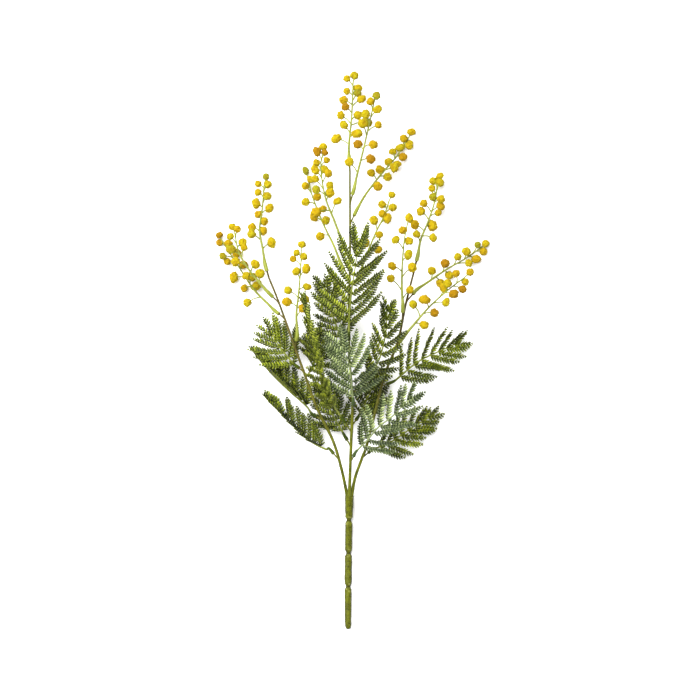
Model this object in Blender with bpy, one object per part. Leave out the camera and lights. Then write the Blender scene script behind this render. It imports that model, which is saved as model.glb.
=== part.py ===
"""Mimosa sprig, lying on a surface: a moulded stem, three branches, fronds and sprays of flower heads.

The stem's foot points to -Y and the flowers to +Y; the surface is the plane z = 0.
The origin is on that plane, under the middle of the flat that the stem rests on.
Places and sizes are in millimetres until a mesh is made.
"""

import math
import random

import bmesh
import bpy
from mathutils import Matrix, Vector

MM = 0.001

STEM_RADIUS = 3.7  # the moulded stem, from which the three branches rise
STEM_TOP_RADIUS = 4.6
STEM_NECK_RADIUS = 2.3  # at each joint between two lengths of the stem
STEM_JOINTS = (43.0, 77.0, 111.0)  # distance of each joint from the foot
STEM_PATH = ((0, -2.5, 2.25), (0, 28, 2.25), (0.3, 68, 2.6), (0.8, 102, 6.3), (1.3, 132, 12.3))
ORIGIN_ALONG = 20.0  # the origin's y in the layout below, 22.5 from the foot

BRANCH_RADIUS = 1.65
BRANCH_TIP_RADIUS = 1.0
TENON_RADIUS = 1.1  # the branch's end inside the stem
TENON_LENGTH = 11.0
HOLE_CLEARANCE = 0.35
ROOT_RING = 2.35  # distance of each branch from the stem's axis, at its top

PEG_RADIUS = 0.8  # a branch's peg, over which a frond or a spray is slid
SOCKET_DEPTH = 6.0
SOCKET_CLEARANCE = 0.35
SOCKET_WALL = 0.75

PINNA_THICKNESS = 0.8
LEAFLET_REACH = 4.6  # from the pinna's rib to the leaflets' tips
LEAFLET_SPACING = 18.0
PINNA_TILT = math.radians(24)  # each pinna is turned on its own axis, as a louvre is

HEAD_POINTS = 6  # tufts of florets that stand up on a flower head
STALK_RADIUS = 0.5

# A branch: the points it passes through, from the stem's top to its tip.
BRANCHES = {
    "left": {
        "root_angle": 205,
        "path": ((-6.4, 159, 19), (-15, 188, 27), (-31, 221, 33), (-43, 254, 36),
                 (-56, 290, 36), (-70, 329, 33), (-79, 351, 31)),
    },
    "centre": {
        "root_angle": 90,
        "path": ((2.5, 169, 25), (3.2, 188, 30), (4.5, 229, 38), (1.5, 269, 42),
                 (1, 315, 44), (2, 379, 44), (1.9, 457, 38)),
    },
    "right": {
        "root_angle": -25,
        "path": ((7.5, 152, 17), (14.2, 171, 23), (20, 188, 27), (36.4, 253, 34),
                 (49.4, 286, 35), (58, 326, 32), (66.6, 360, 28)),
    },
}

# A frond: its branch, where along that branch its peg leaves, the way it faces, how many degrees it
# folds that way, its pairs of pinnae, a pinna's length, the seed of their unevenness, and the points
# of its midrib from the socket on.
FRONDS = {
    "centre_front": {
        "branch": "centre", "leaves_at": (1, 281), "faces": (0, 0, 1), "fold": 14,
        "pairs": 7, "pinna": 44, "seed": 1,
        "midrib": ((1, 290, 52), (1.5, 315, 62), (4, 340, 69), (7, 360, 73), (9.5, 379, 75)),
    },
    "centre_grey": {
        "branch": "centre", "leaves_at": (4.5, 214), "faces": (0, 0, 1), "fold": 8,
        "pairs": 6, "pinna": 36, "seed": 2,
        "midrib": ((5, 224.5, 47), (4.5, 234.5, 52), (3, 252, 60), (0, 268, 63), (-6, 281, 62)),
    },
    "centre_ridge": {
        "branch": "centre", "leaves_at": (3.2, 196), "faces": (-0.25, 0.1, 1), "fold": 62,
        "pairs": 7, "pinna": 25, "seed": 3,
        "midrib": ((-3, 207, 40), (-14, 224, 52), (-24, 246, 62), (-30, 268, 68), (-35, 294, 70),
                   (-41, 322, 64)),
    },
    "centre_arch": {
        "branch": "centre", "leaves_at": (4, 236), "faces": (0.2, 0, 1), "fold": 16,
        "pairs": 6, "pinna": 27, "seed": 4,
        "midrib": ((9, 240, 43), (21, 252, 46), (31, 270, 48), (37, 293, 49), (39, 316, 46)),
    },
    "centre_back": {
        "branch": "centre", "leaves_at": (1, 276), "faces": (0, 0, 1), "fold": -4,
        "pairs": 5, "pinna": 27, "seed": 5,
        "midrib": ((-3, 282, 36), (-8, 294, 30), (-14, 310, 26), (-19, 326, 23), (-23, 340, 21)),
    },
    "low_left_back": {
        "branch": "centre", "leaves_at": (2.8, 182), "faces": (0, 0.1, 1), "fold": 0,
        "pairs": 5, "pinna": 28, "seed": 6,
        "midrib": ((-1, 189, 24), (-9, 203, 17), (-18, 219, 12), (-25, 236, 10)),
    },
    "low_right_back": {
        "branch": "centre", "leaves_at": (3.5, 203), "faces": (0, 0, 1), "fold": 0,
        "pairs": 5, "pinna": 27, "seed": 7,
        "midrib": ((8, 209, 28), (14, 219, 20), (21, 233, 14), (27, 248, 11)),
    },
    "low_right_grey": {
        "branch": "centre", "leaves_at": (2.5, 167), "faces": (0.1, 0, 1), "fold": 12,
        "pairs": 6, "pinna": 33, "seed": 8,
        "midrib": ((5.8, 173, 31), (20, 190, 43), (30, 202, 48), (45, 214, 51), (58, 228, 51)),
    },
    "left_spread": {
        "branch": "left", "leaves_at": (-44, 257), "faces": (0, 0, 1), "fold": 6,
        "pairs": 6, "pinna": 36, "seed": 9,
        "midrib": ((-49, 261, 31), (-57, 268, 27), (-66, 279, 25), (-75, 292, 23)),
    },
    "left_edge": {
        "branch": "left", "leaves_at": (-24, 208), "faces": (0.62, 0.5, 0.6), "fold": 52,
        "pairs": 6, "pinna": 26, "seed": 10,
        "midrib": ((-31, 212, 27), (-42, 223, 24), (-58, 237, 20), (-75, 253, 14), (-90, 270, 8)),
    },
    "left_low": {
        "branch": "left", "leaves_at": (-9.6, 169), "faces": (0.35, 0.75, 0.55), "fold": 38,
        "pairs": 6, "pinna": 25, "seed": 11,
        "midrib": ((-14.5, 175, 19), (-23, 179.7, 17.5), (-39, 188, 14), (-55, 203, 10.5), (-76, 224, 6.5)),
    },
    "left_inner": {
        "branch": "left", "leaves_at": (-42, 252), "faces": (0, 0, 1), "fold": 0,
        "pairs": 4, "pinna": 25, "seed": 12,
        "midrib": ((-38, 258, 29), (-34, 266, 22), (-33, 277, 16), (-34, 289, 12)),
    },
    "right_spread": {
        "branch": "right", "leaves_at": (33, 243), "faces": (0.1, -0.15, 1), "fold": 10,
        "pairs": 6, "pinna": 34, "seed": 13,
        "midrib": ((39, 245, 30), (49, 250, 26), (70, 267, 21), (90, 277, 16), (106, 284, 11)),
    },
    "right_low": {
        "branch": "right", "leaves_at": (14.2, 171), "faces": (0.1, 0.1, 1), "fold": 10,
        "pairs": 6, "pinna": 27, "seed": 14,
        "midrib": ((20.6, 176, 18), (30, 181, 15), (44, 187, 12), (62, 199, 8), (80, 210, 5)),
    },
}

# A spray: its branch, where along it the peg leaves (None at the branch's tip), its number of flower
# heads, the share of its axis that is bare, its first stalk's length, the seed of the heads' places,
# and the points of its axis from the socket on.
SPRAYS = {
    "top": {
        "branch": "centre", "leaves_at": None, "heads": 14, "bare": 0.26, "stalk": 16, "seed": 1492,
        "axis": ((1.5, 464, 37), (1, 484, 32), (3.8, 515, 24), (5, 547, 16)),
    },
    "top_right": {
        "branch": "centre", "leaves_at": (2, 424), "heads": 10, "bare": 0.26, "stalk": 16, "seed": 1428,
        "axis": ((4.6, 434, 44), (9, 453, 45), (15, 477, 44), (20, 499, 42), (26, 526, 38)),
    },
    "right_of_top": {
        "branch": "centre", "leaves_at": (1.9, 404), "heads": 14, "bare": 0.38, "stalk": 10, "seed": 1384,
        "axis": ((6, 413, 38), (18, 435, 29), (33, 455, 20), (49, 474, 11), (60.5, 492, 4.5)),
    },
    "left_of_top": {
        "branch": "centre", "leaves_at": (1.9, 366), "heads": 14, "bare": 0.38, "stalk": 16, "seed": 45,
        "axis": ((-2.5, 378, 48), (-13, 406, 50), (-22.6, 431, 49), (-27, 460, 45), (-25, 475, 42)),
    },
    "left_of_top_back": {
        "branch": "centre", "leaves_at": (1.7, 350), "heads": 9, "bare": 0.38, "stalk": 10, "seed": 536,
        "axis": ((-4, 360, 39), (-14, 383, 30), (-25, 406, 20), (-36, 434, 11), (-40, 452, 6)),
    },
    "right_of_centre": {
        "branch": "centre", "leaves_at": (1.5, 338), "heads": 9, "bare": 0.38, "stalk": 10, "seed": 534,
        "axis": ((7, 347, 39), (17, 370, 31), (28, 397, 24), (36, 413, 20), (41, 428, 17)),
    },
    "left_tip": {
        "branch": "left", "leaves_at": None, "heads": 13, "bare": 0.26, "stalk": 10, "seed": 1133,
        "axis": ((-81, 358, 30), (-85, 378, 27), (-88.6, 400, 22), (-86, 422, 18), (-84, 448, 14)),
    },
    "left_upper": {
        "branch": "left", "leaves_at": (-69, 326), "heads": 10, "bare": 0.26, "stalk": 13, "seed": 300,
        "axis": ((-75, 332, 37), (-89, 347, 41), (-100, 361, 42), (-109, 377, 40), (-113, 396, 36)),
    },
    "left_lower": {
        "branch": "left", "leaves_at": (-63, 310), "heads": 12, "bare": 0.26, "stalk": 13, "seed": 1440,
        "axis": ((-69, 315, 30), (-80, 325, 23), (-94, 339, 15), (-107, 358, 9), (-127, 389, 5)),
    },
    "left_inner": {
        "branch": "left", "leaves_at": (-52.5, 280), "heads": 11, "bare": 0.26, "stalk": 13, "seed": 460,
        "axis": ((-51.3, 289, 42), (-51.3, 314, 47), (-49.3, 333, 49), (-47, 360, 49), (-46.5, 378, 47)),
    },
    "right_tip": {
        "branch": "right", "leaves_at": None, "heads": 14, "bare": 0.26, "stalk": 13, "seed": 206,
        "axis": ((68.5, 368, 27), (73, 390, 25), (80, 407, 22), (87, 428, 18), (90, 446, 14)),
    },
    "right_upright": {
        "branch": "right", "leaves_at": (54.5, 308), "heads": 9, "bare": 0.14, "stalk": 16, "seed": 497,
        "axis": ((54.5, 317, 39), (53.7, 340, 43), (54, 364, 45), (56, 388, 45), (59, 404, 44)),
    },
    "right_outer": {
        "branch": "right", "leaves_at": (58.5, 328), "heads": 11, "bare": 0.26, "stalk": 16, "seed": 429,
        "axis": ((65, 335, 27), (80, 347, 20), (99, 360, 13), (118, 371, 8), (135, 383, 5)),
    },
    "right_lower": {
        "branch": "right", "leaves_at": (46.5, 280), "heads": 12, "bare": 0.26, "stalk": 13, "seed": 1213,
        "axis": ((52, 287, 40), (67, 306, 45), (82, 323, 47), (100, 339, 45), (117, 352, 41)),
    },
}


def clear_scene():
    for found in list(bpy.data.objects):
        bpy.data.objects.remove(found)


def material(name, colour, roughness):
    made = bpy.data.materials.new(name)
    made.use_nodes = True
    shader = made.node_tree.nodes["Principled BSDF"]
    shader.inputs["Base Color"].default_value = (*colour, 1)
    shader.inputs["Roughness"].default_value = roughness
    return made


def mesh_object(name, points, faces):
    """A mesh object at the origin, from points in millimetres and outward faces."""
    mesh = bpy.data.meshes.new(name)
    mesh.from_pydata([Vector(p) * MM for p in points], [], faces)
    made = bpy.data.objects.new(name, mesh)
    bpy.context.scene.collection.objects.link(made)
    return made


def shifted(point):
    """A point of the layout, in the part's own frame."""
    return Vector((point[0], point[1] - ORIGIN_ALONG, point[2]))


def curve_point(points, place):
    """A point of the smooth curve through these points; place runs from 0 to the last point's index."""
    last = len(points) - 1
    i = min(int(place), last - 1)
    u = place - i
    a = points[i - 1] if i > 0 else points[0] * 2 - points[1]
    b, c = points[i], points[i + 1]
    d = points[i + 2] if i + 2 <= last else points[last] * 2 - points[last - 1]
    return (b * 2 + (c - a) * u + (a * 2 - b * 5 + c * 4 - d) * u * u + (b * 3 - a - c * 3 + d) * u ** 3) / 2


def smooth_path(points, count):
    """count + 1 points at even distances along the smooth curve through these points."""
    fine = [curve_point(points, (len(points) - 1) * k / 200) for k in range(201)]
    gone = [0.0]
    for a, b in zip(fine, fine[1:]):
        gone.append(gone[-1] + (b - a).length)
    even = []
    j = 0
    for k in range(count + 1):
        want = gone[-1] * k / count
        while j < 199 and gone[j + 1] < want:
            j += 1
        share = (want - gone[j]) / (gone[j + 1] - gone[j])
        even.append(fine[j].lerp(fine[j + 1], min(max(share, 0.0), 1.0)))
    return even


def tangents(path):
    """The unit direction of the path at each of its points."""
    found = []
    for i in range(len(path)):
        ahead, behind = path[min(i + 1, len(path) - 1)], path[max(i - 1, 0)]
        found.append((ahead - behind).normalized())
    return found


def square_to(direction, wanted):
    """The unit vector square to direction that lies nearest to wanted."""
    return (wanted - direction * wanted.dot(direction)).normalized()


def tube_mesh(path, radii, sides, socket=None, up=Vector((0, 0, 1))):
    """(points, faces) of a closed tube. A socket, (radius, depth), is a blind hole in its first end."""
    points, faces = [], []
    ways = tangents(path)

    def ring(centre, way, radius):
        first = len(points)
        n = square_to(way, up)
        s = way.cross(n)
        for k in range(sides):
            turn = 2 * math.pi * (k + 0.5) / sides
            points.append(centre + n * radius * math.cos(turn) + s * radius * math.sin(turn))
        return range(first, first + sides)

    def band(low, high):
        for k in range(sides):
            n = (k + 1) % sides
            faces.append((low[k], low[n], high[n], high[k]))

    rings = [ring(p, w, r) for p, w, r in zip(path, ways, radii)]
    for low, high in zip(rings, rings[1:]):
        band(low, high)
    faces.append(tuple(rings[-1]))
    if socket:
        radius, depth = socket
        mouth = ring(path[0], ways[0], radius)
        end = ring(path[0] + ways[0] * depth, ways[0], radius)
        band(mouth, rings[0])
        band(end, mouth)
        faces.append(tuple(end)[::-1])
    else:
        faces.append(tuple(rings[0])[::-1])
    return points, faces


def joined(name, base, others):
    """One closed mesh from base and the others, by a single Boolean union."""
    group = bpy.data.collections.new(name + "_joined")
    for other in others:
        bpy.context.scene.collection.objects.unlink(other)
        group.objects.link(other)
    bpy.context.scene.collection.children.link(group)
    union = base.modifiers.new("union", "BOOLEAN")
    union.operation = "UNION"
    union.operand_type = "COLLECTION"
    union.collection = group
    union.solver = "EXACT"
    graph = bpy.context.evaluated_depsgraph_get()
    result = bpy.data.meshes.new_from_object(base.evaluated_get(graph))
    base.modifiers.clear()
    base.data = result
    for other in others:
        bpy.data.objects.remove(other)
    bpy.data.collections.remove(group)
    return base


def dressed(made, finish):
    """The object with its finish, shaded smooth where it is round."""
    made.data.materials.clear()
    made.data.materials.append(finish)
    made.data.shade_smooth()
    made.data.set_sharp_from_angle(angle=math.radians(40))
    return made


def head_template():
    """Unit directions over a ball, the triangles that join them, and the opening that the stalk leaves by.

    The first three directions stand close together round -Z, where the stalk meets the head.
    """
    ball = bmesh.new()
    for k in range(3):
        turn = 2 * math.pi * k / 3
        ball.verts.new(Vector((0.16 * math.cos(turn), 0.16 * math.sin(turn), -1)).normalized())
    for k in range(HEAD_POINTS):
        z = 1 - 1.62 * (k + 0.5) / HEAD_POINTS
        flat = math.sqrt(1 - z * z)
        turn = math.pi * (3 - math.sqrt(5)) * k
        ball.verts.new((flat * math.cos(turn), flat * math.sin(turn), z))
    bmesh.ops.convex_hull(ball, input=ball.verts)
    bmesh.ops.recalc_face_normals(ball, faces=ball.faces)
    ball.verts.index_update()
    points = [v.co.copy() for v in ball.verts]
    faces = [tuple(v.index for v in f.verts) for f in ball.faces]
    ball.free()
    mouth = next(f for f in faces if set(f) == {0, 1, 2})
    faces.remove(mouth)
    return points, faces, mouth


def head_mesh(template, root, centre, radius, draw):
    """A flower head on its stalk: a ball whose surface stands up in blunt tufts of florets."""
    points, faces, mouth = template
    way = (centre - root).normalized()
    turn = way.to_track_quat("Z", "Y").to_matrix() @ Matrix.Rotation(draw.uniform(0, 6.28), 3, "Z")
    made = []
    for k, direction in enumerate(points):
        reach = radius
        if k >= 3:
            reach *= (1.09 if k % 2 else 0.92) * draw.uniform(0.97, 1.03)
        place = centre + turn @ direction * reach
        made.append(Vector((place.x, place.y, max(place.z, 0.0))))
    foot = len(made)
    for k in mouth:
        made.append(root + turn @ Vector((points[k].x, points[k].y, 0)) * (STALK_RADIUS / 0.16))
    joined_faces = list(faces)
    for k in range(3):
        n = (k + 1) % 3
        joined_faces.append((mouth[k], mouth[n], foot + n))
        joined_faces.append((mouth[k], foot + n, foot + k))
    joined_faces.append((foot, foot + 1, foot + 2))
    return made, joined_faces


def branch_path(name):
    """The branch's own line: its tenon, then the smooth curve that it grows along."""
    branch = BRANCHES[name]
    top, below = shifted(STEM_PATH[-1]), shifted(STEM_PATH[-2])
    way = (top - below).normalized()
    up = square_to(way, Vector((0, 0, 1)))
    side = way.cross(up)
    angle = math.radians(branch["root_angle"])
    root = top + side * ROOT_RING * math.cos(angle) + up * ROOT_RING * math.sin(angle)
    points = [root, *(shifted(p) for p in branch["path"])]
    return root, way, points


def nearest(path, place):
    """The point of the path that lies nearest to a place seen from above."""
    return min(path, key=lambda p: (p.x - place.x) ** 2 + (p.y - place.y) ** 2)


def seat_on_branch(spec, points):
    """Where a frond's or spray's peg starts on its branch, and the piece's own line from its socket."""
    _, _, branch_points = branch_path(spec["branch"])
    fine = smooth_path(branch_points, 200)
    mouth = points[0]
    if spec["leaves_at"] is None:
        start = fine[-1]
    else:
        start = nearest(fine, shifted((*spec["leaves_at"], 0)))
    way = (mouth - start).normalized()
    return start, way, [mouth, mouth + way * (SOCKET_DEPTH + 1.5), *points[1:]]


def frond_line(spec):
    return seat_on_branch(spec, [shifted(p) for p in spec["midrib"]])


def spray_line(spec):
    return seat_on_branch(spec, [shifted(p) for p in spec["axis"]])


def spray_heads(spec):
    """Each flower head as (root on the axis, centre, radius), by one rule with a seeded draw.

    The heads stand on stalks on both sides in turn, shorter and smaller towards the tip.
    """
    _, _, line = spray_line(spec)
    axis = smooth_path(line, 60)
    ways = tangents(axis)
    draw = random.Random(spec["seed"])
    heads = []
    count = spec["heads"]
    side_first = draw.choice((1, -1))
    first_stalk, last_stalk = spec["stalk"], 7.0
    for k in range(count):
        share = k / (count - 1)
        along = spec["bare"] + (1 - spec["bare"]) * share ** 0.9 + draw.uniform(-0.03, 0.03)
        i = max(min(round(along * 60), 60), 8)
        way = ways[i]
        up = square_to(way, Vector((0, 0, 1)))
        side = way.cross(up) * (side_first if k % 2 else -side_first)
        lift = math.radians(draw.uniform(-45, 45))
        lean = math.radians(draw.uniform(36, 82) - 24 * share)
        out = side * math.cos(lift) + up * math.sin(lift)
        if k == count - 1:
            lean = math.radians(8)
        radius = (4.4 - 0.6 * share) * draw.uniform(0.86, 1.1)
        stalk = (first_stalk + (last_stalk - first_stalk) * share) * draw.uniform(0.62, 1.25)
        centre = axis[i] + (way * math.cos(lean) + out * math.sin(lean)) * stalk
        centre.z = max(centre.z, 0.8 * radius)
        heads.append((axis[i], centre, radius))
    return heads


def build_spray(name, spec, template, finish):
    start, way, line = spray_line(spec)
    length = sum((b - a).length for a, b in zip(line, line[1:]))
    axis = smooth_path(line, max(6, round(length / 14)))
    outer = PEG_RADIUS + SOCKET_CLEARANCE + SOCKET_WALL
    if spec["leaves_at"] is None:
        outer = BRANCH_TIP_RADIUS + SOCKET_CLEARANCE + SOCKET_WALL
    hole = outer - SOCKET_WALL
    last = len(axis) - 1
    radii = []
    for k in range(last + 1):
        share = k / last
        radii.append(outer if share * length < SOCKET_DEPTH + 2 else 0.75 + 0.75 * (1 - share) ** 2)
    axis[1] = axis[0] + way * (SOCKET_DEPTH + 1.5)
    radii[1] = outer
    points, faces = tube_mesh(axis, radii, 5, (hole, SOCKET_DEPTH))
    base = mesh_object("spray_" + name, points, faces)
    draw = random.Random(spec["seed"] + 1000)
    others = []
    for k, (root, centre, radius) in enumerate(spray_heads(spec)):
        others.append(mesh_object(f"{name}_head_{k}", *head_mesh(template, root, centre, radius, draw)))
    return dressed(joined(name, base, others), finish)


def pinna_mesh(root, way, normal, ahead, length, curl, droop, pairs):
    """A pinna: one thin blade, cut to its rib into pairs of leaflets, that droops and curls ahead."""
    tilt = Matrix.Rotation(PINNA_TILT, 3, way)
    sweep = square_to(way, ahead)
    normal = tilt @ square_to(way, normal)
    side = way.cross(normal)
    half = PINNA_THICKNESS / 2
    points, faces = [], []

    def axis_at(share):
        return root + way * length * share + (sweep * curl - normal * droop) * length * share * share

    def add(*place):
        points.extend(place)

    for j in range(pairs + 1):
        share = j / pairs
        middle = axis_at(share)
        rib = 0.6 * (1 - 0.4 * share)
        add(middle + normal * half, middle - side * rib - normal * half, middle + side * rib - normal * half)
    tips = len(points)
    for j in range(pairs):
        share = (j + 0.5) / pairs
        reach = LEAFLET_REACH * (1 - 0.45 * abs(2 * share - 0.9) ** 2)
        middle = axis_at((j + 0.85) / pairs)
        add(middle - side * reach, middle + side * reach)
    end = len(points)
    add(axis_at(1) + way * 2.6)
    for j in range(pairs):
        top, left, right = range(3 * j, 3 * j + 3)
        top2, left2, right2 = range(3 * j + 3, 3 * j + 6)
        tip_left, tip_right = tips + 2 * j, tips + 2 * j + 1
        faces += [
            (left, top, tip_left), (top, top2, tip_left),
            (top2, left2, tip_left), (left2, left, tip_left),
            (top, right, tip_right), (top2, top, tip_right),
            (right2, top2, tip_right), (right, right2, tip_right),
            (right, left, left2), (right, left2, right2),
        ]
    top, left, right = range(3 * pairs, 3 * pairs + 3)
    faces += [(left, top, end), (top, right, end), (right, left, end), (0, 1, 2)]
    return points, faces


def frond_pinnae(spec):
    """Each pinna as (root, way, blade normal, the midrib's way, length, curl, droop), in pairs."""
    _, _, line = frond_line(spec)
    midrib = smooth_path(line, 80)
    ways = tangents(midrib)
    faces_to = Vector(spec["faces"])
    draw = random.Random(spec["seed"])
    found = []
    pairs = spec["pairs"]
    for k in range(pairs):
        share = k / (pairs - 1)
        i = round((0.2 + 0.8 * share) * 80)
        way = ways[i]
        up = square_to(way, faces_to)
        across = way.cross(up)
        fold = math.radians(spec["fold"])
        lean = math.radians(58 - 34 * share ** 1.3)
        rounding = 0.28 * math.sin(math.pi * min(1.0, 0.25 + 0.75 * share)) - 0.12 * share
        length = spec["pinna"] * (0.72 + rounding)
        for turn in (1, -1):
            out = across * turn * math.cos(fold) + up * math.sin(fold)
            blade = up * math.cos(fold) - across * turn * math.sin(fold)
            swing = lean + math.radians(draw.uniform(-6, 6))
            reach = length * draw.uniform(0.86, 1.1)
            curl, droop = draw.uniform(0.02, 0.2), draw.uniform(0, 0.09)
            pinna_way = way * math.cos(swing) + out * math.sin(swing)
            found.append((midrib[i], pinna_way, blade, way, reach, curl, droop))
    return found


def build_frond(name, spec, finish):
    start, way, line = frond_line(spec)
    length = sum((b - a).length for a, b in zip(line, line[1:]))
    midrib = smooth_path(line, max(5, round(length / 15)))
    outer = PEG_RADIUS + SOCKET_CLEARANCE + SOCKET_WALL
    last = len(midrib) - 1
    radii = [1.1 - 0.35 * k / last for k in range(last + 1)]
    midrib[1] = midrib[0] + way * (SOCKET_DEPTH + 1.5)
    radii[0] = radii[1] = outer
    hole = PEG_RADIUS + SOCKET_CLEARANCE
    points, faces = tube_mesh(midrib, radii, 5, (hole, SOCKET_DEPTH))
    base = mesh_object("frond_" + name, points, faces)
    others = []
    for k, pinna in enumerate(frond_pinnae(spec)):
        pairs = max(2, round(pinna[4] / LEAFLET_SPACING))
        others.append(mesh_object(f"{name}_pinna_{k}", *pinna_mesh(*pinna, pairs)))
    return dressed(joined(name, base, others), finish)


def peg_mesh(spec, line):
    start, way, _ = line
    mouth = line[2][0]
    return tube_mesh([start, mouth + way * (SOCKET_DEPTH - 0.5)], [PEG_RADIUS] * 2, 5)


def build_branch(name, finish):
    """A branch with its tenon, and a peg for each frond and spray that is slid onto it."""
    root, way, points = branch_path(name)
    path = smooth_path(points, 20)
    last = len(path) - 1
    radii = [BRANCH_RADIUS + (BRANCH_TIP_RADIUS - BRANCH_RADIUS) * k / last for k in range(last + 1)]
    shoulder = root + way * SOCKET_CLEARANCE
    path = [root - way * TENON_LENGTH, shoulder - way * 0.01, shoulder + way * 0.6, *path[1:]]
    radii = [TENON_RADIUS, TENON_RADIUS, BRANCH_RADIUS, *radii[1:]]
    tip = next(s for s in SPRAYS.values() if s["branch"] == name and s["leaves_at"] is None)
    start, tip_way, line = spray_line(tip)
    path.append(line[0] + tip_way * (SOCKET_DEPTH - 0.5))
    radii.append(BRANCH_TIP_RADIUS)
    base = mesh_object("branch_" + name, *tube_mesh(path, radii, 6))
    pegs = []
    for spec in FRONDS.values():
        if spec["branch"] == name:
            pegs.append(peg_mesh(spec, frond_line(spec)))
    for spec in SPRAYS.values():
        if spec["branch"] == name and spec["leaves_at"] is not None:
            pegs.append(peg_mesh(spec, spray_line(spec)))
    others = [mesh_object(f"{name}_peg_{k}", *peg) for k, peg in enumerate(pegs)]
    return dressed(joined(name, base, others), finish)


def build_stem(finish):
    """The moulded stem: four lengths with a neck between each, flared at the top, flat where it rests."""
    points = [shifted(p) for p in STEM_PATH]
    path = smooth_path(points, 136)
    rings, radii = [], []
    stations = [0, 1.5, 4]
    for joint in STEM_JOINTS:
        stations += [joint - 3, joint, joint + 3]
    stations += [24, 60, 94, 124, 136]
    for at in sorted(stations):
        near = min(abs(at - joint) for joint in STEM_JOINTS)
        swell = STEM_RADIUS - 0.5 * max(0.0, 1 - at / 50)
        if at > 111:
            swell += (STEM_TOP_RADIUS - STEM_RADIUS) * (at - 111) / 25
        if near < 1:
            swell = STEM_NECK_RADIUS
        if at < 1:
            swell = 1.2
        elif at < 2:
            swell = 2.4
        low = min(int(at), 135)
        rings.append(path[low].lerp(path[low + 1], at - low))
        radii.append(swell)
    verts, faces = tube_mesh(rings, radii, 8)
    verts = [Vector((v.x, v.y, max(v.z, 0.0))) for v in verts]
    stem = mesh_object("stem", verts, faces)
    for name in BRANCHES:
        root, way, _ = branch_path(name)
        ends = [root - way * (TENON_LENGTH + 0.5), root + way * 3]
        hole = tube_mesh(ends, [TENON_RADIUS + HOLE_CLEARANCE] * 2, 6)
        cutter = mesh_object("hole_" + name, *hole)
        cutter.hide_render = True
        cutter.display_type = "WIRE"
        cut = stem.modifiers.new("hole_" + name, "BOOLEAN")
        cut.operation = "DIFFERENCE"
        cut.object = cutter
        cut.solver = "EXACT"
    return dressed(stem, finish)


def main():
    clear_scene()
    stem_finish = material("moulded_stem", (0.16, 0.2, 0.03), 0.6)
    branch_finish = material("branch", (0.2, 0.24, 0.05), 0.6)
    leaf_finish = material("frond", (0.1, 0.2, 0.03), 0.6)
    grey_finish = material("frond_grey", (0.22, 0.34, 0.22), 0.65)
    flower_finish = material("flower", (0.72, 0.5, 0.02), 0.9)
    build_stem(stem_finish)
    for name in BRANCHES:
        build_branch(name, branch_finish)
    for name, spec in FRONDS.items():
        build_frond(name, spec, grey_finish if "grey" in name else leaf_finish)
    template = head_template()
    for name, spec in SPRAYS.items():
        build_spray(name, spec, template, flower_finish)


main()
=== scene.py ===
import bpy
import bmesh
import math
import random
import numpy as np
from mathutils import Matrix, Vector, noise


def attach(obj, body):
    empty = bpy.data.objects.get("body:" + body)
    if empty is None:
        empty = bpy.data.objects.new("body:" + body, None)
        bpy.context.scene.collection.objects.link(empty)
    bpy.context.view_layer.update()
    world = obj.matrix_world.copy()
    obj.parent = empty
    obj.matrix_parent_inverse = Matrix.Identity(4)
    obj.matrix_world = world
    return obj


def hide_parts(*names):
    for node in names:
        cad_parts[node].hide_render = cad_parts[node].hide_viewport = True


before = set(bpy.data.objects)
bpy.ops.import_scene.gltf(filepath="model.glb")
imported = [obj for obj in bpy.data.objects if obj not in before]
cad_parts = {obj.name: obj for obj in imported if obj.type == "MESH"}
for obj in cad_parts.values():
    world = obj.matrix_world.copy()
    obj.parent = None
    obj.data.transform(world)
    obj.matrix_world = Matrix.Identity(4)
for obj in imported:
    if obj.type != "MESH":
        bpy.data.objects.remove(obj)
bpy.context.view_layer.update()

mm = 0.001
originAlong = 20.0  # the origin's y in the layout that all places below are given in


# curves, shared by every piece. Places are in millimetres until a mesh is made.

def shifted(point):
    return Vector((point[0], point[1] - originAlong, point[2]))


def curvePoint(points, place):
    last = len(points) - 1
    i = min(int(place), last - 1)
    u = place - i
    a = points[i - 1] if i > 0 else points[0] * 2 - points[1]
    b, c = points[i], points[i + 1]
    d = points[i + 2] if i + 2 <= last else points[last] * 2 - points[last - 1]
    squared = a * 2 - b * 5 + c * 4 - d
    cubed = b * 3 - a - c * 3 + d
    return (b * 2 + (c - a) * u + squared * u * u + cubed * u ** 3) / 2


def smoothPath(points, count):
    fineSteps = 200
    fine = [curvePoint(points, (len(points) - 1) * k / fineSteps) for k in range(fineSteps + 1)]
    gone = [0.0]
    for a, b in zip(fine, fine[1:]):
        gone.append(gone[-1] + (b - a).length)
    even = []
    j = 0
    for k in range(count + 1):
        want = gone[-1] * k / count
        while j < fineSteps - 1 and gone[j + 1] < want:
            j += 1
        share = (want - gone[j]) / (gone[j + 1] - gone[j])
        even.append(fine[j].lerp(fine[j + 1], min(max(share, 0.0), 1.0)))
    return even


def tangents(path):
    last = len(path) - 1
    return [(path[min(i + 1, last)] - path[max(i - 1, 0)]).normalized() for i in range(last + 1)]


def squareTo(direction, wanted):
    return (wanted - direction * wanted.dot(direction)).normalized()


def pathLength(points):
    return sum((b - a).length for a, b in zip(points, points[1:]))


# mesh drafts: points, faces and two values on each point, tone and mark, that the materials read

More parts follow.
